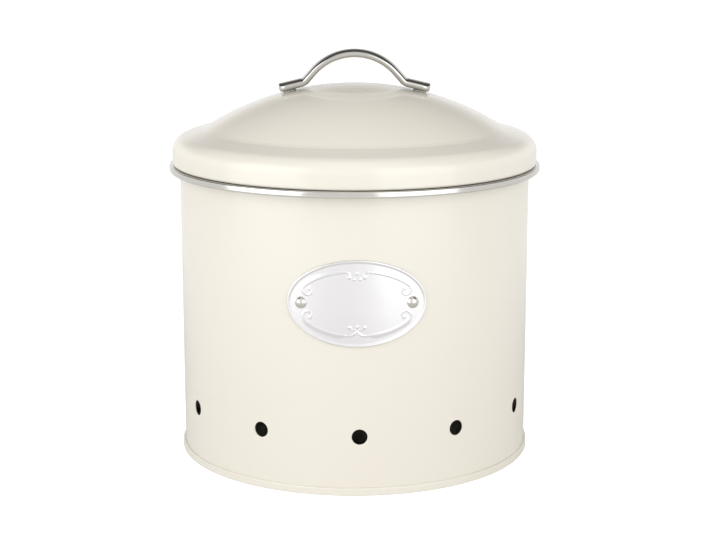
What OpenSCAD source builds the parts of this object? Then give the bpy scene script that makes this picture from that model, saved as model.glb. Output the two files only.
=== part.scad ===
// Round sheet steel storage bin for potatoes, with vent holes, a polished rim,
// a loose domed lid with a strap handle, and an oval plate riveted to its front.
// Millimetres, +Z up, origin on the table under the middle of the bin.
// The front, where the plate is, faces -Y.

/* [Body] */
// Outside diameter of the wall
body_d = 235; // [200:1:300]
// Height of the rim's top above the table
rim_h = 195.6; // [160:0.1:280]
// Thickness of the wall's sheet
wall_t = 0.8; // [0.6:0.05:1]
// Width of the lock seam's fold inside the wall
lock_w = 7; // [5:0.5:10]
// Thickness of the lock seam's fold inside the wall
lock_t = 0.8; // [0.4:0.1:0.9]
// Width of the seam line outside the wall
seam_line_w = 0.8; // [0.4:0.1:1.5]
// Depth of the seam line outside the wall
seam_line_d = 0.3; // [0.1:0.05:0.4]

/* [Base] */
// Thickness of the base pan's sheet
base_t = 0.8; // [0.6:0.05:1]
// Height of the base panel's underside above the table
base_rise = 5; // [3:0.5:10]
// Height of the bead that closes the base onto the wall
bead_h = 5; // [3:0.5:8]
// How far the bead stands out from the wall
bead_out = 1.6; // [1:0.1:2.5]
// Rounding of the bead's corners
bead_round = 0.6; // [0.3:0.1:0.75]

/* [Rim] */
// Height of the polished rim band
band_h = 4.2; // [3.9:0.1:6]
// How far the rim band stands out from the wall
band_out = 7.1; // [5:0.1:9]
// Thickness of the rim band's steel
band_t = 0.6; // [0.4:0.05:0.8]
// Rounding of the rim band's outer corners
band_round = 1; // [0.9:0.1:1.6]
// Depth of the band's lip inside the mouth
band_lip = 4; // [3:0.5:8]
// Gap between the wall and the ends that are turned back under the rim
turn_gap = 0.6; // [0.3:0.1:1.2]

/* [Vents] */
// Diameter of a vent hole
vent_d = 10; // [6:0.5:14]
// Height of the vent holes' centres above the table
vent_h = 38.5; // [24:0.5:60]
// Number of vent holes
vent_count = 11; // [5:2:11]
// Angle from one vent hole to the next
vent_step = 32; // [24:0.5:32]
// Turn of the middle vent hole from the front
vent_turn = 1.5; // [-4:0.5:4]

/* [Plate] */
// Width of the plate, straight across
plate_w = 86.8; // [70:0.1:100]
// Height of the plate
plate_h = 55.2; // [40:0.1:70]
// Thickness of the plate's sheet
plate_t = 0.7; // [0.5:0.05:1.2]
// Height of the plate's raised edge above its sheet
plate_edge_h = 0.5; // [0.2:0.05:1]
// Width of the plate's raised edge
plate_edge_w = 2.2; // [1:0.1:4]
// Height of the plate's middle above the table
plate_z = 124.5; // [90:0.5:140]
// Turn of the plate from the front
plate_turn = 0.7; // [-4:0.1:4]
// Distance of each rivet from the plate's end, straight across
rivet_inset = 8.6; // [8:0.1:14]
// Diameter of a rivet's head
rivet_head_d = 7.6; // [5:0.1:9]
// Height of a rivet's head
rivet_head_h = 2.4; // [1.5:0.1:2.5]
// Diameter of a rivet's shank
rivet_d = 3.2; // [2:0.1:4]
// Diameter of a rivet's clinched tail
tail_d = 5.2; // [4.5:0.1:6]
// Height of a rivet's clinched tail
tail_h = 1.3; // [0.8:0.1:2]
// Outside diameter of the burr washer under a rivet's tail
burr_d = 8; // [7:0.5:10]
// Thickness of a burr washer
burr_t = 0.8; // [0.5:0.1:1.2]

/* [Lid] */
// How far the lid's side stands in from the rim's outermost edge
lid_inset = 2.2; // [1:0.1:4]
// Height of the lid's upright side, up to its rounded shoulder
lid_side_h = 8.5; // [6:0.1:14]
// Thickness of the lid's sheet
lid_t = 0.8; // [0.6:0.05:1]
// Radius of the dome
dome_r = 189; // [175:1:220]
// Width of the shoulder, from the crease at the dome's foot to the lid's side
shoulder_w = 21.2; // [17:0.1:28]
// Radius of the soft curve along that crease
crease_round = 12; // [6:0.5:14]
// Fall of the shoulder's upper part, in degrees
shoulder_a = 16; // [12:0.5:19]
// Radius of the shoulder's rounded corner
shoulder_r = 11; // [8:0.5:14]
// Rounding of the lid's lower corner
edge_r = 1.6; // [1.2:0.1:2]
// Width of the edge that is turned in under the lid
edge_in = 5.6; // [4.8:0.1:6.5]
// Gap between the lid and the rim it sits on
lid_gap = 0.2; // [0.1:0.05:0.4]

/* [Skirt] */
// How far the skirt reaches below the lid's edge
skirt_drop = 13.5; // [8:0.5:25]
// Thickness of the skirt's sheet
skirt_t = 0.8; // [0.6:0.05:1]
// Clearance between the skirt and the mouth, on each side
mouth_gap = 1.2; // [0.9:0.1:2]

/* [Handle] */
// Width of the strap
strap_w = 20; // [16:0.5:26]
// Thickness of the strap
strap_t = 6; // [4.8:0.1:6.4]
// Height of the handle's top above the lid's top
handle_rise = 23.4; // [22:0.1:28]
// Radius of the arch's upper face
arch_r = 40; // [36:0.5:44]
// Slope of the arch's sides, in degrees
side_a = 48; // [44:0.5:52]
// Radius of the bend above a foot
bend_r = 3; // [2:0.5:4]
// Distance from the handle's middle to each screw
screw_x = 43.5; // [42:0.5:50]
// Length of a foot beyond its screw
foot_tip = 6.3; // [5.5:0.1:9]
// Rounding of a foot's corners, seen from above
foot_round = 5; // [2:0.5:5.5]

/* [Handle fixings] */
// Diameter of a screw's shank
screw_d = 4; // [3:0.5:5]
// Depth of the screw in the foot
screw_in = 4.2; // [2.5:0.1:4.4]
// Diameter of a screw's head
screw_head_d = 7.6; // [6.5:0.1:9]
// Height of a screw's head
screw_head_h = 2.6; // [2:0.1:3.5]
// Depth of the cross recess in a screw's head
cross_depth = 1.3; // [0.8:0.1:1.6]
// Width of the cross recess's arms
cross_w = 1.1; // [0.8:0.1:1.4]
// Length of the cross recess's arms
cross_l = 4.4; // [3:0.1:5]
// Outside diameter of a washer under a screw's head
washer_d = 10; // [8.5:0.5:12]
// Thickness of a washer under a screw's head
washer_t = 0.8; // [0.5:0.1:1.2]
// Outside diameter of a spacer under a foot
spacer_d = 9; // [7:0.5:12]
// Thickness of a spacer under a foot
spacer_t = 0.9; // [0.5:0.1:1.5]

/* [Fits] */
// Gap between pieces that are closed or pressed onto each other
fit_gap = 0.05; // [0.02:0.01:0.1]
// Clearance round a shank in its hole, on each side
hole_gap = 0.1; // [0.05:0.05:0.3]
// Gap between a flat washer and the middle of the curved sheet it bears on
bear_gap = 0.1; // [0.08:0.01:0.2]

/* [Hidden] */
$fn = 120;
cut = 1;
oval_steps = 96;
dome_steps = 24;
crease_steps = 6;
shoulder_steps = 16;
edge_steps = 8;
lap = 0.3;
swell = 0.01;
cream = "#f2ecdf";
polished = "#d5d6d8";
chromed = "#c3c5c8";
clear_nylon = "#e9e9e4";

body_r = body_d / 2;
wall_in_r = body_r - wall_t;
lock_a = 2 * asin(lock_w / 2 / wall_in_r);
seam_line_a = 2 * asin(seam_line_w / 2 / body_r);
seam_turn = vent_turn + 180;

pan_r = wall_in_r - fit_gap;
pan_in_r = pan_r - base_t;
bead_r = body_r + bead_out;
panel_top = base_rise + base_t;

band_half = band_h / 2;
band_mid = rim_h - band_half;
band_r = body_r + band_out;
hem_r = band_r - band_half;
hem_half = band_half - band_t - fit_gap;
hem_in = hem_half - wall_t;
band_corner = [band_r - band_round, band_half - band_round];
mouth_r = wall_in_r - fit_gap - band_t;

plate_r = body_r + fit_gap;
plate_face_r = plate_r + plate_t;
plate_edge_r = plate_face_r + plate_edge_h;
rivet_a = asin((plate_w / 2 - rivet_inset) / plate_face_r);
rivet_cap_r = (pow(rivet_head_d / 2, 2) + pow(rivet_head_h, 2)) / 2 / rivet_head_h;
rivet_seat = fit_gap + plate_t;

lid_r = band_r - lid_inset;
lid_z = rim_h + lid_gap;
fall_out = [sin(shoulder_a), cos(shoulder_a)];
fall_dir = [cos(shoulder_a), -sin(shoulder_a)];
shoulder_mid = [lid_r - shoulder_r, lid_z + lid_side_h];
shoulder_start = shoulder_mid + shoulder_r * fall_out;
crease_r = lid_r - shoulder_w;
crease_z = shoulder_start[1] + (shoulder_start[0] - crease_r) * tan(shoulder_a);
dome_mid = crease_z - sqrt(pow(dome_r, 2) - pow(crease_r, 2));
lid_top = dome_mid + dome_r;
crease_from_dome = [crease_r, crease_z - dome_mid] + crease_round * fall_out;
crease_shift = sqrt(
    pow(crease_from_dome * fall_dir, 2) - crease_from_dome * crease_from_dome
    + pow(dome_r + crease_round, 2)
) - crease_from_dome * fall_dir;
crease_mid = [0, dome_mid] + crease_from_dome + crease_shift * fall_dir;
crease_a = atan2(crease_mid[1] - dome_mid, crease_mid[0]);

skirt_r = mouth_r - mouth_gap;
skirt_in_r = skirt_r - skirt_t;
skirt_low = lid_z - skirt_drop;
skirt_seat = lid_z + lid_t + fit_gap;
skirt_flange_r = lid_r - edge_r - fit_gap;

foot_a = asin(screw_x / dome_r);
foot_seat_z = dome_mid + sqrt(pow(dome_r, 2) - pow(screw_x, 2));
foot_out = [sin(foot_a), cos(foot_a)];
foot_dir = [cos(foot_a), -sin(foot_a)];
foot_mid = [screw_x, foot_seat_z] + (spacer_t + strap_t / 2) * foot_out;
arch_mid_r = arch_r - strap_t / 2;
arch_z = lid_top + handle_rise - arch_r;
side_out = [sin(side_a), cos(side_a)];
side_dir = [cos(side_a), -sin(side_a)];
side_start = [0, arch_z] + arch_mid_r * side_out;
corner_run = ((foot_mid - side_start) * foot_out) / (side_dir * foot_out);
bend_corner = side_start + corner_run * side_dir;
bend_mid_r = bend_r + strap_t / 2;
bend_cut = bend_mid_r * tan((side_a - foot_a) / 2);
bend_mid = bend_corner - bend_cut * side_dir + bend_mid_r * side_out;
foot_start = bend_corner + bend_cut * foot_dir;
foot_length = (foot_mid - foot_start) * foot_dir + foot_tip;
washer_top = -lid_t - bear_gap;
washer_low = washer_top - washer_t;
burr_top = -wall_t - bear_gap;
burr_low = burr_top - burr_t;

// The part of a disc between two angles, in the plane of a section
module pie(mid, r, from_a, to_a) {
    reach = 2 * r;
    half_a = (from_a + to_a) / 2;
    translate(mid) intersection() {
        circle(r);
        polygon([
            [0, 0],
            reach * [cos(from_a), sin(from_a)],
            reach * [cos(half_a), sin(half_a)],
            reach * [cos(to_a), sin(to_a)]
        ]);
    }
}

// The part of a ring between two angles, in the plane of a section
module ring_arc(mid, r_out, r_in, from_a, to_a) {
    difference() {
        pie(mid, r_out, from_a, to_a);
        translate(mid) circle(r_in);
    }
}

// Points along an arc
function arc_points(mid, r, from_a, to_a, steps) =
    [for (i = [0 : steps]) let (a = from_a + (to_a - from_a) * i / steps) mid + r * [cos(a), sin(a)]];

// The same points from last to first
function backwards(points) = [for (i = [len(points) - 1 : -1 : 0]) points[i]];

// Places a piece on the wall's outside, at a turn from the front, with its Z outwards
module on_wall(turn, z) {
    rotate([0, 0, turn]) translate([0, -body_r, z]) rotate([90, 0, 0]) children();
}

// Places a piece at each rivet, with its Z outwards
module at_rivets() {
    for (side = [-1, 1]) {
        on_wall(plate_turn + side * rivet_a, plate_z) children();
    }
}

// Places a piece under each foot, with its Z out of the dome and its origin on the lid
module at_feet() {
    for (turn = [0, 180]) {
        rotate([0, 0, turn]) translate([screw_x, 0, foot_seat_z]) rotate([0, foot_a, 0]) children();
    }
}

// A round hole through a sheet whose outer face is at Z 0
module sheet_hole(d, t) {
    translate([0, 0, -t - cut]) cylinder(d = d, h = t + 2 * cut);
}

// A flat ring with a hole through it, standing on its lower face
module flat_washer(d, hole_d, t) {
    difference() {
        cylinder(d = d, h = t);
        translate([0, 0, -cut]) cylinder(d = hole_d, h = t + 2 * cut);
    }
}

// Section of the wall with its top edge turned outwards and back under itself
module wall_section() {
    foot_z = base_t + fit_gap;
    translate([wall_in_r, foot_z]) square([wall_t, band_mid + hem_in - foot_z]);
    pie([body_r, band_mid + hem_in], wall_t, 90, 180);
    translate([body_r, band_mid + hem_in]) square([hem_r - body_r, wall_t]);
    ring_arc([hem_r, band_mid], hem_half, hem_in, -90, 90);
    translate([body_r + turn_gap, band_mid - hem_half]) square([hem_r - body_r - turn_gap, wall_t]);
}

module body_wall() {
    color(cream) difference() {
        union() {
            rotate_extrude() wall_section();
            rotate([0, 0, seam_turn - 90 - lock_a / 2])
                rotate_extrude(angle = lock_a)
                    translate([wall_in_r - lock_t, panel_top + cut])
                        square([lock_t + wall_t / 2, rim_h - band_lip - cut - panel_top - cut]);
        }
        rotate([0, 0, seam_turn - 90 - seam_line_a / 2])
            rotate_extrude(angle = seam_line_a)
                translate([body_r - seam_line_d, bead_h])
                    square([seam_line_d + cut, rim_h - band_h - bead_h]);
        for (i = [0 : vent_count - 1]) {
            on_wall(vent_turn + (i - (vent_count - 1) / 2) * vent_step, vent_h)
                sheet_hole(vent_d, wall_t);
        }
        at_rivets() sheet_hole(rivet_d + 2 * hole_gap, wall_t);
    }
}

// Section of the base pan: panel, countersink wall, and the closed bead round the wall's foot
module base_section() {
    skirt_in = body_r + fit_gap;
    in_x = pan_in_r + bead_round;
    out_x = bead_r - bead_round;
    top_z = bead_h - bead_round;
    translate([0, base_rise]) square([pan_in_r, base_t]);
    pie([pan_in_r, base_rise], base_t, 0, 90);
    translate([pan_in_r, bead_round]) square([base_t, base_rise - bead_round]);
    translate([in_x, 0]) square([out_x - in_x, base_t]);
    translate([pan_in_r, bead_round]) square([bead_r - pan_in_r, base_t - bead_round]);
    translate([skirt_in, bead_round]) square([bead_r - skirt_in, top_z - bead_round]);
    translate([skirt_in, top_z]) square([out_x - skirt_in, bead_round]);
    pie([in_x, bead_round], bead_round, 180, 270);
    pie([out_x, bead_round], bead_round, 270, 360);
    pie([out_x, top_z], bead_round, 0, 90);
}

module base_pan() {
    color(cream) rotate_extrude() base_section();
}

// Section of the rim band, wrapped round the wall's turned edge, with a flat outer face
module band_section() {
    corner = [body_r, band_mid + hem_in];
    corner_r = wall_t + fit_gap;
    translate([mouth_r, rim_h - band_lip]) square([band_t, corner[1] - rim_h + band_lip]);
    ring_arc(corner, corner_r + band_t, corner_r, 90, 180);
    translate([body_r, rim_h - band_t]) square([band_corner[0] - body_r, band_t]);
    ring_arc([band_corner[0], band_mid + band_corner[1]], band_round, band_round - band_t, 0, 90);
    translate([band_r - band_t, band_mid - band_corner[1]]) square([band_t, 2 * band_corner[1]]);
    ring_arc([band_corner[0], band_mid - band_corner[1]], band_round, band_round - band_t, -90, 0);
    translate([body_r + turn_gap, rim_h - band_h]) square([band_corner[0] - body_r - turn_gap, band_t]);
}

module rim_band() {
    color(polished) rotate_extrude() band_section();
}

// An oval prism that crosses the wall at the front
module oval_prism(w, h) {
    rotate([0, 0, plate_turn]) translate([0, 0, plate_z]) rotate([90, 0, 0])
        linear_extrude(height = 2 * body_r)
            polygon([
                for (i = [1 : oval_steps]) let (a = 360 * i / oval_steps) [w / 2 * cos(a), h / 2 * sin(a)]
            ]);
}

// A curved shell just outside the wall
module curved_shell(r_in, r_out, low, high) {
    translate([0, 0, low]) difference() {
        cylinder(r = r_out, h = high - low);
        translate([0, 0, -cut]) cylinder(r = r_in, h = high - low + 2 * cut);
    }
}

module name_plate() {
    low = plate_z - plate_h;
    high = plate_z + plate_h;
    color(polished) difference() {
        intersection() {
            curved_shell(plate_r, plate_edge_r, low, high);
            oval_prism(plate_w, plate_h);
        }
        intersection() {
            curved_shell(plate_face_r, plate_edge_r + cut, low, high);
            oval_prism(plate_w - 2 * plate_edge_w, plate_h - 2 * plate_edge_w);
        }
        at_rivets() translate([0, 0, rivet_seat]) sheet_hole(rivet_d + 2 * hole_gap, plate_t);
    }
}

module plate_rivets() {
    color(polished) at_rivets() {
        translate([0, 0, rivet_seat]) intersection() {
            translate([0, 0, rivet_head_h - rivet_cap_r]) sphere(rivet_cap_r);
            cylinder(d = rivet_head_d + cut, h = rivet_head_h + cut);
        }
        translate([0, 0, burr_low - tail_h / 2]) cylinder(d = rivet_d, h = rivet_seat - burr_low + tail_h);
        translate([0, 0, burr_low - tail_h]) cylinder(d1 = rivet_d, d2 = tail_d, h = tail_h);
    }
}

module burr_washers() {
    color(polished) at_rivets() translate([0, 0, burr_low])
        flat_washer(burr_d, rivet_d + 2 * hole_gap, burr_t);
}

// The lid's line at a depth below its outer face, from the top down:
// dome, crease, falling shoulder, rounded corner, side, lower corner and turned-in edge
function lid_line(depth) = concat(
    arc_points([0, dome_mid], dome_r - depth, 90, crease_a, dome_steps),
    arc_points(crease_mid, crease_round + depth, crease_a + 180, 270 - shoulder_a, crease_steps),
    arc_points(shoulder_mid, shoulder_r - depth, 90 - shoulder_a, 0, shoulder_steps),
    arc_points([lid_r - edge_r, lid_z + edge_r], edge_r - depth, 0, -90, edge_steps),
    [[lid_r - edge_in, lid_z + depth]]
);

module lid_shell() {
    color(cream) difference() {
        rotate_extrude() polygon(concat(lid_line(0), backwards(lid_line(lid_t))));
        at_feet() sheet_hole(screw_d + 2 * hole_gap, lid_t);
    }
}

// The hoop that centres the lid in the mouth, with the flange that the lid's edge holds
module lid_skirt() {
    color(cream) rotate_extrude() {
        translate([skirt_in_r, skirt_low]) square([skirt_t, skirt_seat - skirt_low]);
        pie([skirt_r, skirt_seat], skirt_t, 90, 180);
        translate([skirt_r, skirt_seat]) square([skirt_flange_r - skirt_r, skirt_t]);
    }
}

// Section of the strap, with round edges: thickness along X, width along Y
module strap_section(grow = 0) {
    flat = strap_w - strap_t;
    square([strap_t + 2 * grow, flat], center = true);
    for (side = [-1, 1]) {
        translate([0, side * flat / 2]) circle(r = strap_t / 2 + grow);
    }
}

// A straight run of strap from a point in the XZ plane, falling at an angle. It laps into the bends it meets
module strap_run(from, fall, length, lap_end) {
    translate([from[0], 0, from[1]]) rotate([0, fall + 90, 0]) translate([0, 0, -lap])
        linear_extrude(height = length + lap + lap_end) strap_section();
}

// A bent run of strap about a point in the XZ plane, a hair thicker than the runs that end in it
module strap_bend(mid, r, from_a, sweep) {
    translate([mid[0], 0, mid[1]]) rotate([90, 0, 0]) rotate([0, 0, from_a])
        rotate_extrude(angle = sweep) translate([r, 0]) strap_section(swell);
}

// Trims the corners of a foot, seen from above, in the foot's own plane
module foot_corners() {
    translate([foot_mid[0], 0, foot_mid[1]]) rotate([0, foot_a, 0]) for (side = [-1, 1]) {
        translate([foot_tip - foot_round, side * (strap_w / 2 - foot_round), -strap_t])
            linear_extrude(height = 2 * strap_t) difference() {
                translate([0, side > 0 ? 0 : -foot_round - cut]) square([foot_round + cut, foot_round + cut]);
                circle(foot_round);
            }
    }
}

module handle_half() {
    strap_run(side_start, side_a, corner_run - bend_cut, lap);
    strap_bend(bend_mid, bend_mid_r, 270 - side_a, side_a - foot_a);
    difference() {
        strap_run(foot_start, foot_a, foot_length, 0);
        foot_corners();
    }
}

module handle() {
    color(chromed) difference() {
        union() {
            strap_bend([0, arch_z], arch_mid_r, 90 - side_a, 2 * side_a);
            for (turn = [0, 180]) {
                rotate([0, 0, turn]) handle_half();
            }
        }
        at_feet() cylinder(d = screw_d + fit_gap, h = spacer_t + screw_in + fit_gap);
    }
}

module handle_screws() {
    color(polished) at_feet() difference() {
        union() {
            translate([0, 0, washer_low - screw_head_h]) cylinder(d = screw_head_d, h = screw_head_h);
            translate([0, 0, washer_low]) cylinder(d = screw_d - fit_gap, h = spacer_t + screw_in - washer_low);
        }
        for (turn = [0, 90]) {
            rotate([0, 0, turn]) translate([0, 0, washer_low - screw_head_h])
                cube([cross_l, cross_w, 2 * cross_depth], center = true);
        }
    }
}

module screw_washers() {
    color(polished) at_feet() translate([0, 0, washer_low])
        flat_washer(washer_d, screw_d + 2 * hole_gap, washer_t);
}

module foot_spacers() {
    color(clear_nylon) at_feet() flat_washer(spacer_d, screw_d + 2 * hole_gap, spacer_t);
}

body_wall();
base_pan();
rim_band();
name_plate();
plate_rivets();
burr_washers();
lid_shell();
lid_skirt();
handle();
handle_screws();
screw_washers();
foot_spacers();
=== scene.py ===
import math

import bmesh
import bpy
import numpy as np
from mathutils import Matrix


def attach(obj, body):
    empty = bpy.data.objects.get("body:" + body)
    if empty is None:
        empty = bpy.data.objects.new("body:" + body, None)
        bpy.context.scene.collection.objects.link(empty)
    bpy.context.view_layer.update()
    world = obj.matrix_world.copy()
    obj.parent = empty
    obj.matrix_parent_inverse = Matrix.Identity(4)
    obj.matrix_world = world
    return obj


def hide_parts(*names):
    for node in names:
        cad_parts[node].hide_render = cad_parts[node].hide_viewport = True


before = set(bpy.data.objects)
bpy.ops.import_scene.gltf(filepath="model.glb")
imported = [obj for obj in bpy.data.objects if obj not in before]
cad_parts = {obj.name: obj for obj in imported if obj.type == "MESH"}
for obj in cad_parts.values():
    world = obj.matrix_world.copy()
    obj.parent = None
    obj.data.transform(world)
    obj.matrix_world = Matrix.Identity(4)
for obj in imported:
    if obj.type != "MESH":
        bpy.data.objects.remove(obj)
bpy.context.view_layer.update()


# The base is a shallow pressing of sheet steel, sunk into the foot of the wall and closed
# onto it with a flat bead. The bin is enamelled when it is closed, so the cream paint
# softens the fold. Every size in this file is in millimetres, up to make_mesh().
body_r = 117.5
sheet_t = 0.8
base_rise = 5
bead_h = 5
bead_out = 1.6
bead_round = 0.6
fold_soft = 0.4
close_gap = 0.05


def arc(mid, r, start, end, steps):
    """Points along an arc, from one angle to another in degrees."""
    angles = np.radians(np.linspace(start, end, steps + 1))
    return [(mid[0] + r * math.cos(a), mid[1] + r * math.sin(a)) for a in angles]


def make_mesh(name, points, faces, places=(Matrix(),)):
    """One smooth closed mesh, repeated at each place."""
    bm = bmesh.new()
    for place in places:
        verts = [bm.verts.new((place @ Matrix.Translation(p)).translation * 0.001) for p in points]
        for face in faces:
            bm.faces.new([verts[i] for i in face])
    bmesh.ops.recalc_face_normals(bm, faces=bm.faces)
    mesh = bpy.data.meshes.new(name)
    bm.to_mesh(mesh)
    bm.free()
    mesh.shade_smooth()
    piece = bpy.data.objects.new(name, mesh)
    bpy.context.scene.collection.objects.link(piece)
    return piece


def held(outline, reach=0.3):
    """The outline with a point near each end of its long straight runs, so that corners shade crisply."""
    points = [outline[0]]
    for a, b in zip(outline, outline[1:]):
        length = math.dist(a, b)
        for t in (reach / length, 1 - reach / length) if length > 3 * reach else ():
            points.append((a[0] + (b[0] - a[0]) * t, a[1] + (b[1] - a[1]) * t))
        points.append(b)
    return points


def lathe(name, outline, turns=288, places=(Matrix(),)):
    """A turned piece. An outline that starts and ends off the axis is a closed loop."""
    outline = held(outline if outline[0][0] == 0 else outline + outline[:1])
    loop = outline[0] == outline[-1]
    rows = outline[:-1] if loop else outline
    points, ring = [], []
    for r, z in rows:
        count = turns if r > 0 else 1
        ring.append([len(points) + i % count for i in range(turns)])
        points += [
            (r * math.sin(2 * math.pi * i / turns), -r * math.cos(2 * math.pi * i / turns), z)
            for i in range(count)
        ]
    faces = []
    for low, high in zip(ring, ring[1:] + (ring[:1] if loop else [])):
        for i in range(turns):
            j = (i + 1) % turns
            corners = dict.fromkeys((low[i], low[j], high[j], high[i]))
            faces.append(list(corners))
    return make_mesh(name, points, faces, places)


def fit(piece, material, body, node):
    """Dresses a piece and puts it in the place of its node."""
    piece.data.materials.append(material)
    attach(piece, body)
    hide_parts(node)


def linear(hex_colour):
    """An sRGB hex colour as the linear values that a socket takes."""
    parts = [int(hex_colour[i:i + 2], 16) / 255 for i in (1, 3, 5)]
    return [c / 12.92 if c <= 0.04045 else ((c + 0.055) / 1.055) ** 2.4 for c in parts] + [1]


def add_node(tree, kind, inputs, **settings):
    """Adds a node. An input is a value, or the socket that feeds it."""
    node = tree.nodes.new(kind)
    for key, value in settings.items():
        setattr(node, key, value)
    for key, value in inputs.items():
        if isinstance(value, bpy.types.NodeSocket):
            tree.links.new(value, node.inputs[key])
        else:
            node.inputs[key].default_value = value
    return node


def new_material(name):
    """An empty material and its node tree."""
    material = bpy.data.materials.new(name)
    material.use_nodes = True
    material.node_tree.nodes.clear()
    return material, material.node_tree


# Cream powder enamel: sprayed and baked, so it is satin with a fine orange peel 2.4 mm from
# crest to crest, and the film is a touch thicker and yellower in broad soft areas.
enamel, tree = new_material("cream_powder_enamel")
place = add_node(tree, "ShaderNodeTexCoord", {}).outputs["Object"]
film = add_node(tree, "ShaderNodeTexNoise", {"Vector": place, "Scale": 1000 / 70, "Detail": 2})
tint = add_node(tree, "ShaderNodeMix", {
    0: film.outputs["Fac"], 6: linear("#f1eee4"), 7: linear("#efebde"),
}, data_type="RGBA")
gloss = add_node(tree, "ShaderNodeMapRange", {"Value": film.outputs["Fac"], "To Min": 0.34, "To Max": 0.42})
peel = add_node(tree, "ShaderNodeTexNoise", {"Vector": place, "Scale": 1000 / 2.4, "Detail": 1})
grit = add_node(tree, "ShaderNodeTexNoise", {"Vector": place, "Scale": 1000 / 0.5, "Detail": 0})
skin = add_node(tree, "ShaderNodeMath", {
    0: grit.outputs["Fac"], 1: 0.12, 2: peel.outputs["Fac"],
}, operation="MULTIPLY_ADD")
bump = add_node(tree, "ShaderNodeBump", {"Height": skin.outputs[0], "Strength": 1, "Distance": 0.000012})
paint = add_node(tree, "ShaderNodeBsdfPrincipled", {
    "Base Color": tint.outputs[2], "Roughness": gloss.outputs["Result"], "IOR": 1.52,
    "Coat Weight": 0.8, "Coat Roughness": 0.12, "Coat IOR": 1.5, "Normal": bump.outputs["Normal"],
})
add_node(tree, "ShaderNodeOutputMaterial", {"Surface": paint.outputs["BSDF"]})

pan_r = body_r - sheet_t - close_gap
pan_in_r = pan_r - sheet_t
bead_r = body_r + bead_out
panel_top = base_rise + sheet_t
base_line = [
    (0, base_rise), (pan_in_r - fold_soft, base_rise),
    *arc((pan_in_r - fold_soft, base_rise - fold_soft), fold_soft, 90, 0, 4),
    *arc((pan_in_r + bead_round, bead_round), bead_round, 180, 270, 6),
    *arc((bead_r - bead_round, bead_round), bead_round, 270, 360, 6),
    *arc((bead_r - bead_round, bead_h - bead_round), bead_round, 0, 90, 6),
    (body_r + close_gap, bead_h), (body_r + close_gap, sheet_t), (pan_r, sheet_t),
    *arc((pan_r - sheet_t, base_rise), sheet_t, 0, 90, 6), (0, panel_top),
]
base = lathe("base_pan_sheet", base_line)
fit(base, enamel, "bin", "base_pan")


# The wall is a sheet of the same steel, rolled into a tube and locked by a folded seam at the
# back, which shows as a fine groove outside and a flat fold inside. Eleven round vents are
# punched near its foot, and the paint rounds their edges. Its top edge is turned outwards and
# back under itself, to be gripped by the rim band.
rim_h = 195.6
band_h = 4.2
band_out = 7.1
band_t = 0.6
band_lip = 4
band_round = 1
turn_gap = 0.6
vent_d = 10
vent_h = 38.5
vent_count = 11
vent_step = 32
vent_turn = 1.5
vent_edge = 0.2
patch = 8.5
patch_steps = 12
seam_turn = vent_turn + 180
groove_d = 0.3
groove_half = 0.6
groove_bank = 0.2
fold_w = 7
fold_bank = 0.2
nearly = 0.01

wall_in_r = body_r - sheet_t
band_mid = rim_h - band_h / 2
band_r = body_r + band_out
hem_r = band_r - band_h / 2
hem_out = band_h / 2 - band_t - close_gap
hem_in = hem_out - sheet_t
fold_low = panel_top + 1
fold_high = rim_h - band_lip - 1

# The wall's mesh has a row at each height of its line, and a column at each turn. A square patch
# of both about each vent is left out, and filled by rings that run from the square to the hole.
low_row = 18
high_rows = [60, 90, 120, 150, 175]
crisp = 0.3
patch_rows = list(np.linspace(vent_h - patch, vent_h + patch, patch_steps + 1))
upright = [
    sheet_t + close_gap, bead_h, fold_low, fold_low + crisp, low_row, *patch_rows, *high_rows,
    fold_high - crisp, fold_high, rim_h - band_h, band_mid + hem_in - crisp, band_mid + hem_in,
]
wall_rows = [(body_r, z) for z in upright]
wall_rows += arc((hem_r, band_mid), hem_in, 90, -90, 8) + [(body_r + turn_gap, band_mid - hem_in)]
wall_rows += [(body_r + turn_gap, band_mid - hem_out)] + arc((hem_r, band_mid), hem_out, -90, 90, 12)
wall_rows += arc((body_r, band_mid + hem_in), sheet_t, 90, 180, 6)[:-1]
inner_start = len(wall_rows)
wall_rows += [(wall_in_r, z) for z in reversed(upright)]

vent_turns = [vent_turn + (i - (vent_count - 1) / 2) * vent_step for i in range(vent_count)]
patch_half = math.degrees(patch / body_r)
seam_reach = 6
seam_clear_a = 3
seam_steps = [groove_half - groove_bank, groove_half, 2 * groove_half, fold_w / 2, fold_w / 2 + fold_bank]
seam_offsets = [0, *[side * step for step in [*seam_steps, seam_reach] for side in (-1, 1)]]
columns = []
for turn in vent_turns:
    columns += list(np.linspace(turn - patch_half, turn + patch_half, patch_steps + 1))
for turn in vent_turns[:-1]:
    columns += list(np.linspace(turn + patch_half, turn + vent_step - patch_half, 13)[1:-1])
columns += [seam_turn + math.degrees(offset / body_r) for offset in seam_offsets]
columns += list(np.linspace(vent_turns[-1] + patch_half, seam_turn - seam_clear_a, 8)[1:-1])
columns += list(np.linspace(seam_turn + seam_clear_a, vent_turns[0] + 360 - patch_half, 8)[1:-1])
columns = sorted(columns)


def wall_point(turn, r, z, seam_part):
    """A point of the wall's sheet, with the seam's groove and fold."""
    across = math.radians(turn - seam_turn) * body_r
    if seam_part == "outside" and abs(across) < groove_half - nearly and z >= bead_h:
        r -= groove_d * min(1, (groove_half - abs(across)) / groove_bank)
    if seam_part == "inside" and abs(across) < fold_w / 2 + nearly and fold_low < z < fold_high:
        r -= sheet_t
    a = math.radians(turn)
    return (r * math.sin(a), -r * math.cos(a), z)


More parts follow.
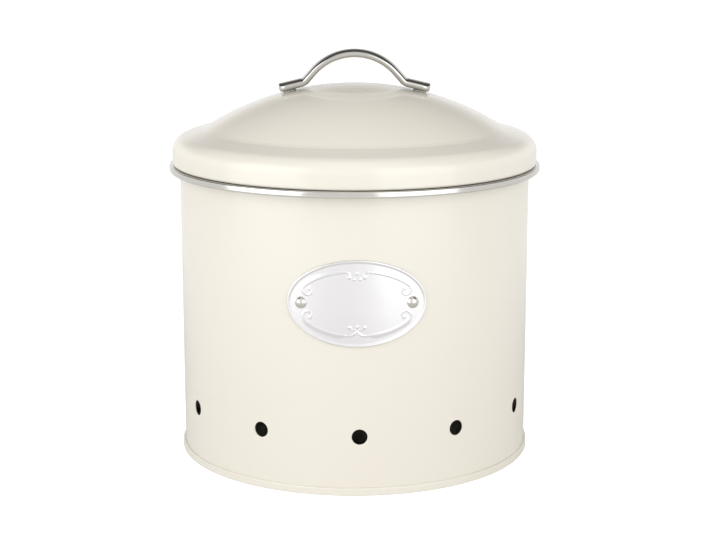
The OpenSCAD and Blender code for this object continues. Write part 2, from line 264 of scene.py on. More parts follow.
def vent_ring(turn, r, rim, lift):
    """A round row of points about a vent, in the order of its patch's border."""
    a = math.radians(turn)
    row = []
    for u, v in patch_border:
        length = math.hypot(u, v)
        b = a + rim * u / length / body_r
        row.append(((r + lift) * math.sin(b), -(r + lift) * math.cos(b), vent_h + rim * v / length))
    return row


steps = range(patch_steps)
edge = [-patch + 2 * patch * i / patch_steps for i in steps]
patch_border = [(s, -patch) for s in edge] + [(patch, s) for s in edge]
patch_border += [(-s, patch) for s in edge] + [(-patch, -s) for s in edge]

row_count = len(wall_rows)
outer_patch = upright.index(patch_rows[0])
inner_patch = inner_start + len(upright) - 1 - outer_patch
points, faces = [], []
for turn in columns:
    for k, (r, z) in enumerate(wall_rows):
        part = "outside" if k < len(upright) - 2 else "inside" if k >= inner_start else "hem"
        points.append(wall_point(turn, r, z, part))
starts = [columns.index(turn - patch_half) for turn in vent_turns]
in_patch = {s + i for s in starts for i in steps}
patch_cells = {outer_patch + i for i in steps} | {inner_patch - 1 - i for i in steps}
for i in range(len(columns)):
    j = (i + 1) % len(columns)
    for k in range(row_count):
        m = (k + 1) % row_count
        if not (i in in_patch and k in patch_cells):
            faces.append([i * row_count + k, j * row_count + k, j * row_count + m, i * row_count + m])
for turn, start in zip(vent_turns, starts):
    border = []
    for first, way in ((outer_patch, 1), (inner_patch, -1)):
        spots = [(start + i, first) for i in steps]
        spots += [(start + patch_steps, first + way * i) for i in steps]
        spots += [(start + patch_steps - i, first + way * patch_steps) for i in steps]
        spots += [(start, first + way * (patch_steps - i)) for i in steps]
        border.append([i * row_count + k for i, k in spots])
    rings = [border[0]]
    hole = vent_d / 2
    # Each ring has the radius of its face, its distance from the vent's middle, and its place off the face.
    for r, rim, lift in [
        (body_r, hole + 1.9, 0), (body_r, hole + 0.7, 0), (body_r, hole + vent_edge + 0.1, 0),
        (body_r, hole + vent_edge, 0), (body_r, hole + vent_edge * 0.3, -vent_edge * 0.3),
        (body_r, hole, -vent_edge), (wall_in_r, hole, vent_edge),
        (wall_in_r, hole + vent_edge * 0.3, vent_edge * 0.3), (wall_in_r, hole + vent_edge, 0),
        (wall_in_r, hole + vent_edge + 0.1, 0), (wall_in_r, hole + 1.4, 0),
    ]:
        rings.append(list(range(len(points), len(points) + len(patch_border))))
        points += vent_ring(turn, r, rim, lift)
    rings.append(border[1])
    for low, high in zip(rings, rings[1:]):
        for i in range(len(patch_border)):
            j = (i + 1) % len(patch_border)
            faces.append([low[i], low[j], high[j], high[i]])
wall = make_mesh("wall_sheet", points, faces)
fit(wall, enamel, "bin", "body_wall")


# The rim is a band of stainless steel, rolled round the wall's turned edge and closed onto it.
# It is polished along its length, which leaves hair-fine lines round the bin.
steel, tree = new_material("polished_stainless_steel")
place = add_node(tree, "ShaderNodeTexCoord", {}).outputs["Object"]
flat_place = add_node(tree, "ShaderNodeVectorMath", {0: place, 1: (1, 1, 0)}, operation="MULTIPLY")
distance = add_node(tree, "ShaderNodeVectorMath", {0: flat_place.outputs[0]}, operation="LENGTH")
height = add_node(tree, "ShaderNodeSeparateXYZ", {0: place})
around = add_node(tree, "ShaderNodeCombineXYZ", {0: distance.outputs["Value"], 2: height.outputs["Z"]})
hairlines = add_node(tree, "ShaderNodeTexNoise", {
    "Vector": around.outputs[0], "Scale": 1000 / 0.35, "Detail": 3,
})
cloudy = add_node(tree, "ShaderNodeTexNoise", {"Vector": place, "Scale": 1000 / 18, "Detail": 2})
gloss = add_node(tree, "ShaderNodeMapRange", {"Value": cloudy.outputs["Fac"], "To Min": 0.1, "To Max": 0.2})
bump = add_node(tree, "ShaderNodeBump", {
    "Height": hairlines.outputs["Fac"], "Strength": 0.5, "Distance": 0.000008,
})
metal = add_node(tree, "ShaderNodeBsdfPrincipled", {
    "Base Color": linear("#d1d0cc"), "Metallic": 1, "Roughness": gloss.outputs["Result"],
    "Normal": bump.outputs["Normal"],
})
add_node(tree, "ShaderNodeOutputMaterial", {"Surface": metal.outputs["BSDF"]})

mouth_r = wall_in_r - close_gap - band_t
corner = (body_r, band_mid + hem_in)
corner_r = sheet_t + close_gap
edge_out = band_r - band_round
edge_high = rim_h - band_round
edge_low = rim_h - band_h + band_round
band_line = [
    (mouth_r, rim_h - band_lip), *arc(corner, corner_r + band_t, 180, 90, 10),
    *arc((edge_out, edge_high), band_round, 90, 0, 12), *arc((edge_out, edge_low), band_round, 0, -90, 12),
    (body_r + turn_gap, rim_h - band_h), (body_r + turn_gap, rim_h - band_h + band_t),
    *arc((edge_out, edge_low), band_round - band_t, -90, 0, 6),
    *arc((edge_out, edge_high), band_round - band_t, 0, 90, 6),
    *arc(corner, corner_r, 90, 180, 6), (mouth_r + band_t, rim_h - band_lip),
]
band = lathe("rim_band_ring", band_line, 384)
fit(band, steel, "bin", "rim_band")


# The plate is an oval of thin bright steel, pressed in a die: a raised edge, a traditional
# scroll border and a bare middle. It is bent to the wall and riveted on at both ends.
plate_w = 86.8
plate_h = 55.2
plate_t = 0.7
plate_z = 124.5
plate_turn = 0.7
edge_rise = 0.5
edge_w = 2.2
edge_crest = 0.8
edge_round = 0.5
side_share = 0.6
frame_a = 38
frame_b = 20.3
plate_r = body_r + close_gap
face_r = plate_r + plate_t


def curve(mid, a, b, start, end, steps, a_end=None, b_end=None):
    """Points along an ellipse, or along a spiral where its radii change on the way."""
    row = []
    for t in np.linspace(0, 1, steps + 1):
        angle = math.radians(start + (end - start) * t)
        ra = a + ((a if a_end is None else a_end) - a) * t
        rb = b + ((b if b_end is None else b_end) - b) * t
        row.append((mid[0] + ra * math.cos(angle), mid[1] + rb * math.sin(angle)))
    return row


# Each stroke is a line of points, its half-width at the start, middle and end, its height, and the
# width of its outer side where that is banked. Strokes are drawn on the left, and mirrored.
border = [
    (curve((0, 0), frame_a, frame_b, 101, 151, 36), (0.7, 0.9, 0.8), 0.3, 3),
    (curve((-30.1, 7.7), 3.6, 3.3, 150, 405, 32, 1.6, 1.5), (0.9, 0.9, 0.75), 0.3, 0),
    ([(-29.2, 9.1), (-29.0, 9.2)], (1.25, 1.25, 1.25), 0.36, 0),
]
top_motif = [
    (curve((-6.9, 18.1), 2.4, 2, 95, -20, 12), (0.75, 0.8, 0.8), 0.26, 0),
    ([(-4.9, 16.9), (-4.7, 16.7)], (1.5, 1.5, 1.5), 0.36, 0),
    ([(-2.0, 15.7), (-1.9, 15.5)], (1.25, 1.25, 1.25), 0.3, 0),
    ([(-0.05, 19.6), (0, 18.8)], (1.1, 1.1, 0.9), 0.32, 0),
]
low_motif = [
    ([(-7.6, -20.1), (-5.4, -20.4), (-3.4, -20.1), (-1.6, -19.1), (0, -17.4)], (0.8, 0.9, 0.8), 0.3, 0),
    ([(-4.6, -14.9), (-4.4, -15.1)], (1.5, 1.5, 1.5), 0.36, 0),
    ([(-3.5, -16.1), (-2.4, -16.6), (-1.2, -16.2)], (0.6, 0.6, 0.5), 0.2, 0),
    ([(-0.05, -14.4), (0, -15.1)], (1.25, 1.25, 1), 0.32, 0),
]

columns_n = 1080
ring_step = 0.17
ring_reach = 14.4
middle_steps = 8
angles = np.linspace(0, 2 * math.pi, columns_n, endpoint=False)
rings_xy, depths = [], []
for depth in [0, 0.05, 0.1, *np.arange(ring_step, ring_reach + nearly, ring_step)]:
    rings_xy.append((plate_w / 2 - depth, plate_h / 2 - depth))
    depths.append(depth)
for share in np.linspace(1, 0, middle_steps + 1)[1:-1]:
    rings_xy.append(((plate_w / 2 - ring_reach) * share, (plate_h / 2 - ring_reach) * share))
    depths.append(ring_reach + (1 - share) * ring_reach)
xy = np.array([[(a * math.cos(t), b * math.sin(t)) for t in angles] for a, b in rings_xy])
depth = np.array(depths)[:, None] * np.ones(columns_n)
outside = (xy[..., 0] / frame_a) ** 2 + (xy[..., 1] / frame_b) ** 2 > 1
left = xy * np.where(xy[..., :1] > 0, (-1, 1), (1, 1))
corner_xy = np.abs(xy) * (-1, 1)
ridge = np.zeros(depth.shape)
for spots, strokes in ((corner_xy, border), (left, top_motif), (left, low_motif)):
    for line, widths, rise, bank in strokes:
        line = np.array(line)
        count = len(line) - 1
        for k in range(count):
            a, b = line[k], line[k + 1]
            t = np.clip(((spots - a) @ (b - a)) / ((b - a) @ (b - a)), 0, 1)
            gap = np.linalg.norm(spots - (a + t[..., None] * (b - a)), axis=-1)
            at = (k + t) / count
            width = np.interp(at, (0, 0.5, 1), widths)
            if bank:
                banked = np.interp(at, (0, 0.12, 0.88, 1), (widths[0], bank, bank, widths[2]))
                width = np.where(outside, banked, width)
            bulge = rise * (0.5 + 0.5 * np.cos(np.clip(gap / width, 0, 1) * math.pi))
            ridge = np.maximum(ridge, bulge)
crest = np.sqrt(np.clip(1 - (1 - np.clip(depth / edge_round, 0, 1)) ** 2, 0, 1))
inward = 0.5 + 0.5 * np.cos(np.clip((depth - edge_crest) / (edge_w - edge_crest), 0, 1) * math.pi)
lift = plate_t * (side_share + (1 - side_share) * crest) + edge_rise * crest * inward + ridge

plate_a = math.radians(plate_turn)


def plate_point(x, y, h):
    """A point of the bent plate, at a height above its back."""
    a = math.asin(x / face_r) + plate_a
    return ((plate_r + h) * math.sin(a), -(plate_r + h) * math.cos(a), plate_z + y)


points = [plate_point(x, y, h) for row, heights in zip(xy, lift) for (x, y), h in zip(row, heights)]
ring_total = len(rings_xy)
rings = [[k * columns_n + i for i in range(columns_n)] for k in range(ring_total)]
back_shares = [1, 0.75, 0.5, 0.25]
for share in back_shares:
    rings.insert(0, list(range(len(points), len(points) + columns_n)))
    points += [plate_point(x * share, y * share, 0) for x, y in xy[0]]
faces = []
for low, high in zip(rings, rings[1:]):
    for i in range(columns_n):
        j = (i + 1) % columns_n
        faces.append([low[i], low[j], high[j], high[i]])
for ring, h in ((rings[0], 0), (rings[-1], plate_t)):
    points.append(plate_point(0, 0, h))
    faces += [[ring[i], ring[(i + 1) % columns_n], len(points) - 1] for i in range(columns_n)]
plate = make_mesh("front_plate", points, faces)

bright_steel, tree = new_material("bright_pressed_steel")
place = add_node(tree, "ShaderNodeTexCoord", {}).outputs["Object"]
grain = add_node(tree, "ShaderNodeTexNoise", {"Vector": place, "Scale": 1000 / 0.4, "Detail": 2})
waves = add_node(tree, "ShaderNodeTexNoise", {"Vector": place, "Scale": 1000 / 16, "Detail": 1})
gloss = add_node(tree, "ShaderNodeMapRange", {"Value": waves.outputs["Fac"], "To Min": 0.2, "To Max": 0.3})
fine = add_node(tree, "ShaderNodeBump", {
    "Height": grain.outputs["Fac"], "Strength": 0.4, "Distance": 0.000006,
})
bump = add_node(tree, "ShaderNodeBump", {
    "Height": waves.outputs["Fac"], "Strength": 0.5, "Distance": 0.00008, "Normal": fine.outputs["Normal"],
})
metal = add_node(tree, "ShaderNodeBsdfPrincipled", {
    "Base Color": linear("#ececee"), "Metallic": 1, "Roughness": gloss.outputs["Result"],
    "Normal": bump.outputs["Normal"],
})
add_node(tree, "ShaderNodeOutputMaterial", {"Surface": metal.outputs["BSDF"]})
fit(plate, bright_steel, "bin", "name_plate")


# Two domed rivets of nickelled steel go through plate and wall. Inside, each is clinched over
# a small burr washer.
rivet_inset = 8.6
rivet_head_d = 7.6
rivet_head_h = 2.4
rivet_d = 3.2
tail_d = 5.2
tail_h = 1.3
burr_d = 8
burr_t = 0.8
head_soft = 0.12
tail_soft = 0.5
bear_gap = 0.1
hole_gap = 0.1

nickel, tree = new_material("polished_nickel")
place = add_node(tree, "ShaderNodeTexCoord", {}).outputs["Object"]
rub = add_node(tree, "ShaderNodeTexNoise", {"Vector": place, "Scale": 1000 / 1.5, "Detail": 3})
gloss = add_node(tree, "ShaderNodeMapRange", {"Value": rub.outputs["Fac"], "To Min": 0.16, "To Max": 0.3})
bump = add_node(tree, "ShaderNodeBump", {
    "Height": rub.outputs["Fac"], "Strength": 0.4, "Distance": 0.00002,
})
metal = add_node(tree, "ShaderNodeBsdfPrincipled", {
    "Base Color": linear("#d6d4ce"), "Metallic": 1, "Roughness": gloss.outputs["Result"],
    "Normal": bump.outputs["Normal"],
})
add_node(tree, "ShaderNodeOutputMaterial", {"Surface": metal.outputs["BSDF"]})

rivet_a = math.degrees(math.asin((plate_w / 2 - rivet_inset) / face_r))
rivet_places = [
    Matrix.Rotation(math.radians(plate_turn + side * rivet_a), 4, "Z")
    @ Matrix.Translation((0, -body_r, plate_z)) @ Matrix.Rotation(math.radians(90), 4, "X")
    for side in (-1, 1)
]
seat = close_gap + plate_t
burr_top = -sheet_t - bear_gap
burr_low = burr_top - burr_t
cap_r = ((rivet_head_d / 2) ** 2 + rivet_head_h ** 2) / 2 / rivet_head_h
cap_a = math.degrees(math.asin(rivet_head_d / 2 / cap_r))
rivet_line = [
    (0, seat + rivet_head_h), *arc((0, seat + rivet_head_h - cap_r), cap_r, 90, 90 - cap_a, 20)[1:-1],
    (rivet_head_d / 2 - 0.02, seat + head_soft), (rivet_head_d / 2 - head_soft, seat), (rivet_d / 2, seat),
    (rivet_d / 2, burr_low), (tail_d / 2, burr_low), (tail_d / 2 - 0.2, burr_low - tail_soft),
    (rivet_d / 2, burr_low - tail_h + 0.1), (rivet_d / 2 - tail_soft, burr_low - tail_h),
    (0, burr_low - tail_h),
]
rivets = lathe("domed_rivets", rivet_line, 64, rivet_places)
fit(rivets, nickel, "bin", "plate_rivets")


def washer_line(d, hole_d, low, high, soft=0.1):
    """The outline of a flat washer with softened corners."""
    r, hole = d / 2, hole_d / 2
    return [
        (hole, low + soft), (hole + soft, low), (r - soft, low), (r, low + soft),
        (r, high - soft), (r - soft, high), (hole + soft, high), (hole, high - soft),
    ]


burr_line = washer_line(burr_d, rivet_d + 2 * hole_gap, burr_low, burr_top)
burrs = lathe("rivet_burrs", burr_line, 64, rivet_places)
fit(burrs, nickel, "bin", "burr_washers")


# The lid is one deep pressing with a domed top, a soft crease and a rounded shoulder. Its lower
# edge is turned in over the flange of the hoop. It is enamelled like the bin.
lid_inset = 2.2
lid_side_h = 8.5
dome_r = 189
shoulder_w = 21.2
crease_round = 12
shoulder_a = 16
shoulder_r = 11
edge_r = 1.6
edge_in = 5.6
lid_gap = 0.2


def fall(angle):
    """Unit vectors out of a face that falls at an angle, and down along it."""
    a = math.radians(angle)
    return np.array([math.sin(a), math.cos(a)]), np.array([math.cos(a), -math.sin(a)])


lid_r = band_r - lid_inset
lid_z = rim_h + lid_gap
fall_out, fall_dir = fall(shoulder_a)
shoulder_mid = np.array([lid_r - shoulder_r, lid_z + lid_side_h])
shoulder_start = shoulder_mid + shoulder_r * fall_out
crease_r = lid_r - shoulder_w
crease_z = shoulder_start[1] + (shoulder_start[0] - crease_r) * math.tan(math.radians(shoulder_a))
dome_mid = crease_z - math.sqrt(dome_r ** 2 - crease_r ** 2)
lid_top = dome_mid + dome_r
crease_from_dome = np.array([crease_r, crease_z - dome_mid]) + crease_round * fall_out
along = float(crease_from_dome @ fall_dir)
off = float(crease_from_dome @ crease_from_dome) - along ** 2
crease_mid = np.array([0, dome_mid]) + crease_from_dome + (
    math.sqrt((dome_r + crease_round) ** 2 - off) - along) * fall_dir
crease_a = math.degrees(math.atan2(crease_mid[1] - dome_mid, crease_mid[0]))


def lid_line(depth):
    """The lid's line at a depth below its outer face, from the axis outwards and down."""
    return [
        (0, lid_top - depth), *arc((0, dome_mid), dome_r - depth, 90, crease_a, 48)[1:],
        *arc(crease_mid, crease_round + depth, crease_a - 180, -90 - shoulder_a, 10),
        *arc(shoulder_mid, shoulder_r - depth, 90 - shoulder_a, 0, 28),
        *arc((lid_r - edge_r, lid_z + edge_r), edge_r - depth, 0, -90, 10),
        (lid_r - edge_in, lid_z + depth),
    ]


lid = lathe("lid_pressing", lid_line(0) + lid_line(sheet_t)[::-1], 384)
fit(lid, enamel, "lid", "lid_shell")


# The hoop under the lid is a strip of the same sheet that drops into the mouth and keeps the
# lid in the middle. The lid's turned-in edge holds its flange.
skirt_drop = 13.5
mouth_gap = 1.2
hem_soft = 0.2

skirt_r = mouth_r - mouth_gap
skirt_in_r = skirt_r - sheet_t
skirt_low = lid_z - skirt_drop
skirt_seat = lid_z + sheet_t + close_gap
flange_r = lid_r - edge_r - close_gap
hoop_line = [
    (skirt_in_r, skirt_low + hem_soft), (skirt_in_r + hem_soft, skirt_low), (skirt_r - hem_soft, skirt_low),
    (skirt_r, skirt_low + hem_soft), (skirt_r, skirt_seat), (flange_r, skirt_seat),
    (flange_r, skirt_seat + sheet_t), *arc((skirt_r, skirt_seat), sheet_t, 90, 180, 6),
]
hoop = lathe("lid_hoop", hoop_line, 384)
fit(hoop, enamel, "lid", "lid_skirt")


# The handle is a steel strap with crowned faces and round edges, bent into an arch with a foot
# at each end, polished and chromed. The bends leave faint waves in the polish.
strap_w = 20
strap_t = 6
strap_edge_r = 2
handle_rise = 23.4
arch_r = 40
side_a = 48
bend_r = 3
screw_x = 43.5
foot_tip = 6.3
foot_round = 5
tip_soft = 1.1
tip_narrow = 0.6
tip_thin = 0.9
spacer_t = 0.9

foot_a = math.degrees(math.asin(screw_x / dome_r))
foot_seat_z = dome_mid + math.sqrt(dome_r ** 2 - screw_x ** 2)
foot_out, foot_dir = fall(foot_a)
side_out, side_dir = fall(side_a)
foot_mid = np.array([screw_x, foot_seat_z]) + (spacer_t + strap_t / 2) * foot_out
arch_mid_r = arch_r - strap_t / 2
arch_z = lid_top + handle_rise - arch_r
side_start = np.array([0, arch_z]) + arch_mid_r * side_out
corner_run = float((foot_mid - side_start) @ foot_out) / float(side_dir @ foot_out)
bend_corner = side_start + corner_run * side_dir
bend_mid_r = bend_r + strap_t / 2
bend_cut = bend_mid_r * math.tan(math.radians((side_a - foot_a) / 2))
bend_mid = bend_corner - bend_cut * side_dir + bend_mid_r * side_out
foot_start = bend_corner + bend_cut * foot_dir
foot_length = float((foot_mid - foot_start) @ foot_dir) + foot_tip

# Each station is a point of the strap's middle line, its fall in degrees and its distance from the
# tip. The stations lie closer together towards the tip, where the foot's corners are round.
stations = []
for a in np.linspace(0, side_a, 33):
    stations.append((np.array([0, arch_z]) + arch_mid_r * fall(a)[0], a, foot_tip + foot_length))
for t in np.linspace(0, 1, 7)[1:-1]:
    stations.append((side_start + (corner_run - bend_cut) * t * side_dir, side_a, foot_length))
for a in np.linspace(side_a, foot_a, 15):
    stations.append((bend_mid - bend_mid_r * fall(a)[0], a, foot_length))
tip_steps = [0, 0.03, 0.12, 0.25, 0.45, 0.7, 1, 1.4, 1.9, 2.5, 3.2, 4, 4.6, 5, 5.6]
for d in tip_steps[::-1]:
    stations.append((foot_start + (foot_length - d) * foot_dir, foot_a, d))
stations = [((-p[0], p[1]), -a, d) for p, a, d in stations[:0:-1]] + stations


def strap_ring(half_w, half_t):
    """The strap's section, across and up: crowned faces and round edges."""
    edge = strap_edge_r * half_t / (strap_t / 2)
    crown = ((half_w - edge) ** 2 + half_t ** 2 - edge ** 2) / (2 * (half_t - edge))
    lean = math.degrees(math.asin((half_w - edge) / (crown - edge)))
    ring = arc((half_w - edge, 0), edge, lean - 90, 90 - lean, 14)
    ring += arc((0, half_t - crown), crown, 90 - lean, 90 + lean, 16)[1:-1]
    ring += arc((edge - half_w, 0), edge, 90 + lean, 270 - lean, 14)
    return ring + arc((0, crown - half_t), crown, 270 - lean, 270 + lean, 16)[1:-1]


points, faces, rings = [], [], []
for middle, a, d in stations:
    plan = foot_round - math.sqrt(foot_round ** 2 - max(0, foot_round - d) ** 2)
    soft = tip_soft - math.sqrt(tip_soft ** 2 - max(0, tip_soft - d) ** 2)
    out = fall(a)[0]
    ring = strap_ring(strap_w / 2 - plan - soft * tip_narrow, strap_t / 2 - soft * tip_thin)
    rings.append(list(range(len(points), len(points) + len(ring))))
    points += [(middle[0] + up * out[0], across, middle[1] + up * out[1]) for across, up in ring]
for low, high in zip(rings, rings[1:]):
    for i in range(len(low)):
        j = (i + 1) % len(low)
        faces.append([low[i], low[j], high[j], high[i]])
faces += [rings[0], rings[-1]]
handle = make_mesh("strap_handle", points, faces)

chrome, tree = new_material("chrome_plate")
place = add_node(tree, "ShaderNodeTexCoord", {}).outputs["Object"]
waves = add_node(tree, "ShaderNodeTexNoise", {"Vector": place, "Scale": 1000 / 9, "Detail": 1})
haze = add_node(tree, "ShaderNodeTexNoise", {"Vector": place, "Scale": 1000 / 4, "Detail": 3})
gloss = add_node(tree, "ShaderNodeMapRange", {"Value": haze.outputs["Fac"], "To Min": 0.06, "To Max": 0.14})
bump = add_node(tree, "ShaderNodeBump", {
    "Height": waves.outputs["Fac"], "Strength": 0.5, "Distance": 0.00008,
})
metal = add_node(tree, "ShaderNodeBsdfPrincipled", {
    "Base Color": linear("#c6c5c2"), "Metallic": 1, "Roughness": gloss.outputs["Result"],
    "Normal": bump.outputs["Normal"],
})
add_node(tree, "ShaderNodeOutputMaterial", {"Surface": metal.outputs["BSDF"]})
fit(handle, chrome, "lid", "handle")


# A nylon spacer under each foot keeps the chrome off the paint. A zinc-plated screw with a
# cross recess comes up from inside the lid through a flat washer into each foot.
screw_d = 4
screw_in = 4.2
screw_head_d = 7.6
screw_head_h = 2.6
screw_head_soft = 0.7
screw_end_soft = 0.3
cross_depth = 1.3
cross_w = 1.1
cross_l = 4.4
cross_mouth = 1.06
cross_floor = 0.62
cutter_over = 0.2
washer_d = 10
washer_t = 0.8
spacer_d = 9

foot_places = [
    Matrix.Rotation(turn, 4, "Z") @ Matrix.Translation((screw_x, 0, foot_seat_z))
    @ Matrix.Rotation(math.radians(foot_a), 4, "Y")
    for turn in (0, math.pi)
]
washer_top = -sheet_t - bear_gap
washer_low = washer_top - washer_t
head_low = washer_low - screw_head_h

nylon, tree = new_material("natural_nylon")
place = add_node(tree, "ShaderNodeTexCoord", {}).outputs["Object"]
flow = add_node(tree, "ShaderNodeTexNoise", {"Vector": place, "Scale": 1000 / 3, "Detail": 2})
gloss = add_node(tree, "ShaderNodeMapRange", {"Value": flow.outputs["Fac"], "To Min": 0.4, "To Max": 0.55})
bump = add_node(tree, "ShaderNodeBump", {
    "Height": flow.outputs["Fac"], "Strength": 0.3, "Distance": 0.00005,
})
plastic = add_node(tree, "ShaderNodeBsdfPrincipled", {
    "Base Color": linear("#deded6"), "Roughness": gloss.outputs["Result"], "IOR": 1.53,
    "Normal": bump.outputs["Normal"],
})
add_node(tree, "ShaderNodeOutputMaterial", {"Surface": plastic.outputs["BSDF"]})
spacer_line = washer_line(spacer_d, screw_d + 2 * hole_gap, 0, spacer_t)
spacers = lathe("nylon_spacers", spacer_line, 64, foot_places)
fit(spacers, nylon, "lid", "foot_spacers")

zinc, tree = new_material("zinc_plate")
place = add_node(tree, "ShaderNodeTexCoord", {}).outputs["Object"]
spangle = add_node(tree, "ShaderNodeTexNoise", {"Vector": place, "Scale": 1000 / 1.2, "Detail": 3})
tint = add_node(tree, "ShaderNodeMix", {
    0: spangle.outputs["Fac"], 6: linear("#c9ccd2"), 7: linear("#b5b7b8"),
}, data_type="RGBA")
gloss = add_node(tree, "ShaderNodeMapRange", {
    "Value": spangle.outputs["Fac"], "To Min": 0.28, "To Max": 0.45,
})
bump = add_node(tree, "ShaderNodeBump", {
    "Height": spangle.outputs["Fac"], "Strength": 0.5, "Distance": 0.00002,
})
metal = add_node(tree, "ShaderNodeBsdfPrincipled", {
    "Base Color": tint.outputs[2], "Metallic": 1, "Roughness": gloss.outputs["Result"],
    "Normal": bump.outputs["Normal"],
})
add_node(tree, "ShaderNodeOutputMaterial", {"Surface": metal.outputs["BSDF"]})
flat_line = washer_line(washer_d, screw_d + 2 * hole_gap, washer_low, washer_top)
washers = lathe("flat_washers", flat_line, 64, foot_places)
fit(washers, zinc, "lid", "screw_washers")

head_r = screw_head_d / 2
shank_r = (screw_d - close_gap) / 2
screw_top = spacer_t + screw_in
screw_line = [
    (0, head_low), (head_r - screw_head_soft, head_low),
    *arc((head_r - screw_head_soft, head_low + screw_head_soft), screw_head_soft, -90, 0, 6),
    (head_r, washer_low), (shank_r, washer_low), (shank_r, screw_top - screw_end_soft),
    (shank_r - screw_end_soft, screw_top), (0, screw_top),
]
screws = lathe("cross_screws", screw_line, 64, foot_places)
long, wide = cross_l / 2, cross_w / 2
cross = [(long, -wide), (long, wide), (wide, wide), (wide, long), (-wide, long), (-wide, wide)]
cross += [(-x, -y) for x, y in cross]
cutter_points = [
    (x * share, y * share, head_low + z)
    for share, z in ((cross_mouth, -cutter_over), (cross_floor, cross_depth)) for x, y in cross
]
sides = len(cross)
cutter_faces = [list(range(sides)), list(range(sides, 2 * sides))]
cutter_faces += [[i, (i + 1) % sides, sides + (i + 1) % sides, sides + i] for i in range(sides)]
cutter = make_mesh("cross_cutter", cutter_points, cutter_faces, foot_places)
recess = screws.modifiers.new("recess", "BOOLEAN")
recess.object = cutter
recess.solver = "EXACT"
bpy.context.view_layer.update()
cut_mesh = bpy.data.meshes.new_from_object(screws.evaluated_get(bpy.context.evaluated_depsgraph_get()))
screws.modifiers.clear()
screws.data = cut_mesh
screws.data.materials.clear()
bpy.data.objects.remove(cutter)
fit(screws, zinc, "lid", "handle_screws")


# The studio: a white paper floor that runs into a white background, two tall soft boxes in
# front to the left and right, and soft light from above. What shines reflects a low bright
# backdrop all round, a dim ceiling, and a lit strip in it above the front.
paper, tree = new_material("white_paper")
path = add_node(tree, "ShaderNodeLightPath", {})
place = add_node(tree, "ShaderNodeTexCoord", {}).outputs["Object"]
distance = add_node(tree, "ShaderNodeVectorMath", {0: place}, operation="LENGTH")
far_glow = add_node(tree, "ShaderNodeMapRange", {
    "Value": distance.outputs["Value"], "From Min": 0.3, "From Max": 0.75, "To Min": 0, "To Max": 0.3,
})
in_metal = add_node(tree, "ShaderNodeMath", {
    0: path.outputs["Is Glossy Ray"], 1: far_glow.outputs["Result"],
}, operation="MULTIPLY")
glow = add_node(tree, "ShaderNodeMath", {
    0: path.outputs["Is Camera Ray"], 1: 0.7, 2: in_metal.outputs[0],
}, operation="MULTIPLY_ADD")
matte = add_node(tree, "ShaderNodeBsdfDiffuse", {"Color": (0.8, 0.8, 0.79, 1)})
white = add_node(tree, "ShaderNodeEmission", {"Color": (1, 1, 1, 1), "Strength": glow.outputs[0]})
both = add_node(tree, "ShaderNodeAddShader", {0: matte.outputs[0], 1: white.outputs[0]})
add_node(tree, "ShaderNodeOutputMaterial", {"Surface": both.outputs[0]})
floor_half = 6000
floor_corners = [(x * floor_half, y * floor_half, 0) for x, y in ((-1, -1), (1, -1), (1, 1), (-1, 1))]
floor = make_mesh("paper_floor", floor_corners, [[0, 1, 2, 3]])
floor.data.materials.append(paper)

world = bpy.data.worlds.new("studio")
world.use_nodes = True
tree = world.node_tree
tree.nodes.clear()
path = add_node(tree, "ShaderNodeLightPath", {})
direction = add_node(tree, "ShaderNodeTexCoord", {}).outputs["Generated"]
way = add_node(tree, "ShaderNodeSeparateXYZ", {0: direction})
up_back = add_node(tree, "ShaderNodeVectorMath", {
    0: direction, 1: (0, 0.25, 1),
}, operation="DOT_PRODUCT")
low_glow = add_node(tree, "ShaderNodeMapRange", {
    "Value": up_back.outputs["Value"], "From Min": 0.42, "From Max": 0.62, "To Min": 1, "To Max": 0.1,
})
to_strip = add_node(tree, "ShaderNodeVectorMath", {
    0: direction, 1: (0, -0.375, 0.927),
}, operation="DOT_PRODUCT")
strip_glow = add_node(tree, "ShaderNodeMapRange", {
    "Value": to_strip.outputs["Value"], "From Min": 0.86, "From Max": 0.95, "To Min": 0, "To Max": 0.8,
})
ceiling = add_node(tree, "ShaderNodeMath", {
    0: low_glow.outputs["Result"], 1: strip_glow.outputs["Result"],
}, operation="ADD")
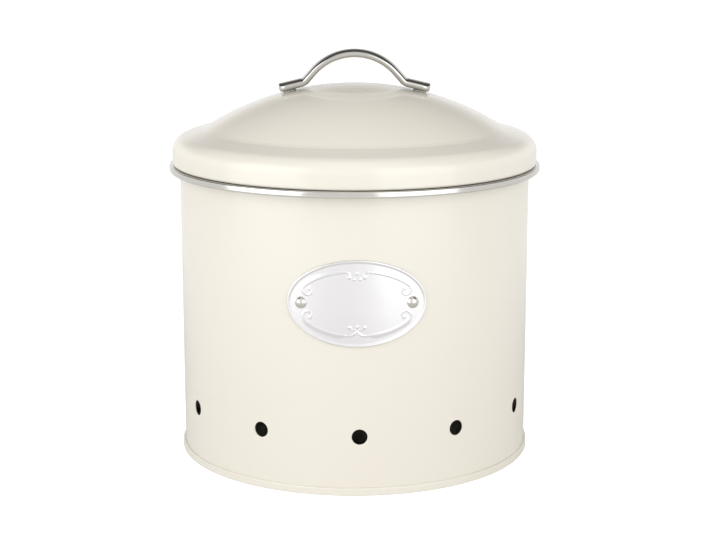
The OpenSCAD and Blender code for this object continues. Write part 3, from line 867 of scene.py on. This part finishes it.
overhead = add_node(tree, "ShaderNodeMapRange", {
    "Value": way.outputs["Z"], "From Min": 0, "From Max": 1, "To Min": 0.5, "To Max": 0.82,
})
shiny = add_node(tree, "ShaderNodeMath", {
    0: path.outputs["Is Glossy Ray"], 1: path.outputs["Is Transmission Ray"],
}, operation="MAXIMUM")
soft = add_node(tree, "ShaderNodeMix", {
    0: shiny.outputs[0], 2: overhead.outputs[0], 3: ceiling.outputs[0],
}, data_type="FLOAT")
strength = add_node(tree, "ShaderNodeMix", {
    0: path.outputs["Is Camera Ray"], 2: soft.outputs[0], 3: 1,
}, data_type="FLOAT")
warmth = add_node(tree, "ShaderNodeMix", {
    0: way.outputs["Z"], 6: (1, 1, 1, 1), 7: (1, 0.955, 0.93, 1),
}, data_type="RGBA")
sky = add_node(tree, "ShaderNodeBackground", {"Color": warmth.outputs[2], "Strength": strength.outputs[0]})
add_node(tree, "ShaderNodeOutputWorld", {"Surface": sky.outputs[0]})
bpy.context.scene.world = world


def soft_box(name, turn, distance, middle_z, size, radiance):
    """A soft box that faces the bin's axis. Its power gives the stated radiance over its face."""
    lamp = bpy.data.lights.new(name, "AREA")
    lamp.shape = "RECTANGLE"
    lamp.size, lamp.size_y = size
    lamp.energy = radiance * math.pi * size[0] * size[1]
    holder = bpy.data.objects.new(name, lamp)
    a = math.radians(turn)
    holder.location = (distance * math.sin(a), -distance * math.cos(a), middle_z)
    holder.rotation_euler = (math.radians(90), 0, a)
    holder.visible_camera = False
    bpy.context.scene.collection.objects.link(holder)
    return holder


soft_box("left_box", -54, 1.0, 0.61, (0.9, 1.2), 1.3)
soft_box("right_box", 37, 1.0, 0.61, (0.89, 1.2), 1.2)

camera = bpy.data.objects.new("camera", bpy.data.cameras.new("camera"))
camera.data.sensor_width = 36
camera.data.lens = 84.19
camera.location = (0, -1.1217, 0.3657)
camera.rotation_euler = (math.radians(90 - 12.343), 0, math.radians(-0.118))
bpy.context.scene.collection.objects.link(camera)
bpy.context.scene.camera = camera
bpy.context.scene.view_settings.view_transform = "Standard"
